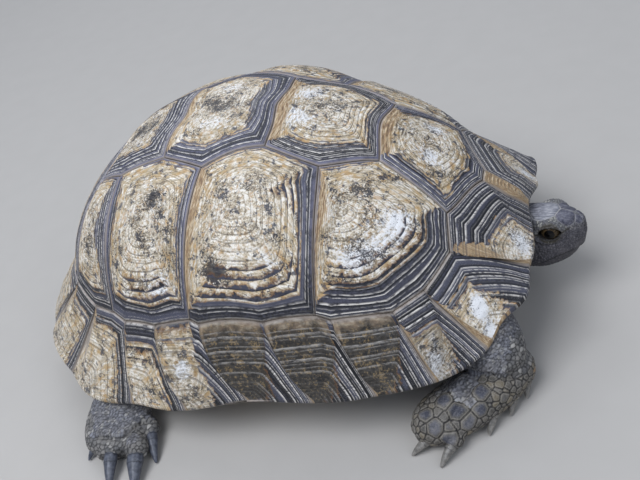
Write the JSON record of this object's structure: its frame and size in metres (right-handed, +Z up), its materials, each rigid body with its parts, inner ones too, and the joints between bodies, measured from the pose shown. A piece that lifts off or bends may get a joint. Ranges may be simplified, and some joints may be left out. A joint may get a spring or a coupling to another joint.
{
  "type": "tortoise",
  "caption": "Life-size still model of an adult spur-thighed tortoise at rest, with a high domed ringed shell and its head partly out.",
  "frame": {"origin": "on the floor under the middle of the animal's bounding box", "axes": "+X toward the head, +Y to the animal's left, +Z up"},
  "size_m": [0.2684, 0.2338, 0.1168],
  "materials": {
    "shell_horn": "satin horn",
    "belly_horn": "worn horn",
    "skin": "dry scaly skin",
    "head_skin": "smooth scaly skin",
    "limb_skin": "dry scaly skin",
    "eye": "wet gloss",
    "fore_claw": "satin horn",
    "hind_claw": "satin horn"
  },
  "bodies": {
    "root": {"carapace": "shell_horn", "plastron": "belly_horn", "torso": "skin", "neck": "skin", "tail": "skin", "head": "head_skin", "eye_left": "eye", "forearm_left": "limb_skin", "upper_arm_left": "limb_skin", "hind_foot_left": "limb_skin", "thigh_left": "limb_skin", "fore_claw_left_1": "fore_claw", "fore_claw_left_2": "fore_claw", "fore_claw_left_3": "fore_claw", "fore_claw_left_4": "fore_claw", "fore_claw_left_5": "fore_claw", "hind_claw_left_1": "hind_claw", "hind_claw_left_2": "hind_claw", "hind_claw_left_3": "hind_claw", "hind_claw_left_4": "hind_claw", "eye_right": "eye", "forearm_right": "limb_skin", "upper_arm_right": "limb_skin", "hind_foot_right": "limb_skin", "thigh_right": "limb_skin", "fore_claw_right_1": "fore_claw", "fore_claw_right_2": "fore_claw", "fore_claw_right_3": "fore_claw", "fore_claw_right_4": "fore_claw", "fore_claw_right_5": "fore_claw", "hind_claw_right_1": "hind_claw", "hind_claw_right_2": "hind_claw", "hind_claw_right_3": "hind_claw", "hind_claw_right_4": "hind_claw"}
  },
  "joints": []
}
